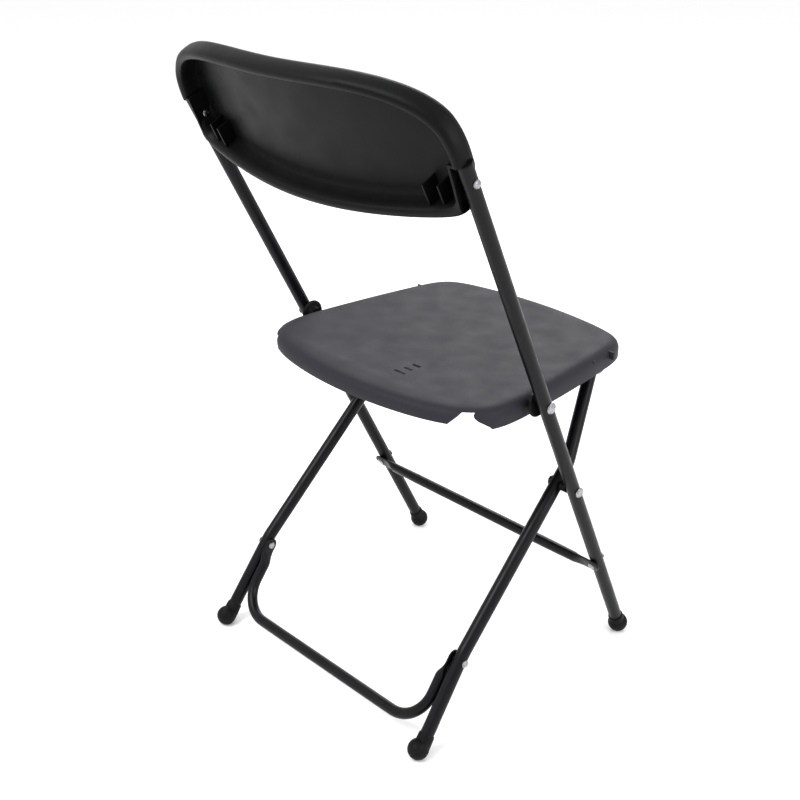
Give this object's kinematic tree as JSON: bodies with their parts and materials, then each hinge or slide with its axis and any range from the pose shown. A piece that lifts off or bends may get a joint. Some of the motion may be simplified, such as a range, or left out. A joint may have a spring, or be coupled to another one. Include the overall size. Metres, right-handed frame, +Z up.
{
  "type": "folding chair",
  "caption": "Folding chair with a black tubular steel scissor frame, a moulded seat with skirts and a bowed moulded backrest.",
  "frame": {"origin": "middle of the chair's box, on the floor", "axes": "+Z up, the sitter faces -Y, the sitter's left is +X"},
  "size_m": [0.4754, 0.4788, 0.8238],
  "materials": {
    "black_paint": "satin black paint",
    "seat_plastic": "fine-textured black moulding",
    "back_plastic": "satin black moulding",
    "foot_rubber": "matt black",
    "black_nylon": "satin",
    "zinc_steel": "bright zinc plate"
  },
  "bodies": {
    "front_frame": {"front_tube_left": "black_paint", "front_tube_right": "black_paint", "tube_top_plugs": "black_nylon", "front_brace": "black_paint", "front_brace_rivets": "zinc_steel", "foot_front_left": "foot_rubber", "foot_front_right": "foot_rubber", "back_shell": "back_plastic", "back_rivets": "zinc_steel", "cross_rivet_left": "zinc_steel", "cross_rivet_right": "zinc_steel", "cross_spacer_left": "black_nylon", "cross_spacer_right": "black_nylon", "seat_pivot_rivet_left": "zinc_steel", "seat_pivot_rivet_right": "zinc_steel"},
    "rear_frame": {"rear_leg_left": "black_paint", "rear_leg_right": "black_paint", "foot_rear_left": "foot_rubber", "foot_rear_right": "foot_rubber", "rear_u_brace": "black_paint", "u_brace_rivets": "zinc_steel", "rear_cross_rod": "zinc_steel", "rod_rollers": "black_nylon", "rod_end_clips": "zinc_steel", "rear_leg_plugs": "black_nylon"},
    "seat": {"seat_shell": "seat_plastic", "seat_rail_left": "black_paint", "seat_rail_right": "black_paint", "seat_rail_screws": "zinc_steel", "seat_bracket_left": "black_paint", "seat_bracket_right": "black_paint", "seat_bracket_screws": "zinc_steel", "seat_spacer_left": "black_nylon", "seat_spacer_right": "black_nylon"}
  },
  "joints": [
    {"name": "rear_frame_fold", "type": "hinge", "parent": "front_frame", "child": "rear_frame", "pos_m": [0, -0.06512, 0.2814], "axis": [-1, 0, 0], "range_deg": [0, 61.7]},
    {"name": "seat_fold", "type": "hinge", "parent": "front_frame", "child": "seat", "pos_m": [0, 0.00628, 0.423], "axis": [-1, 0, 0], "range_deg": [0, 116.8]}
  ],
  "couplings": [
    {"joint": "seat_fold", "follows": "rear_frame_fold", "ratio": 1.893}
  ]
}
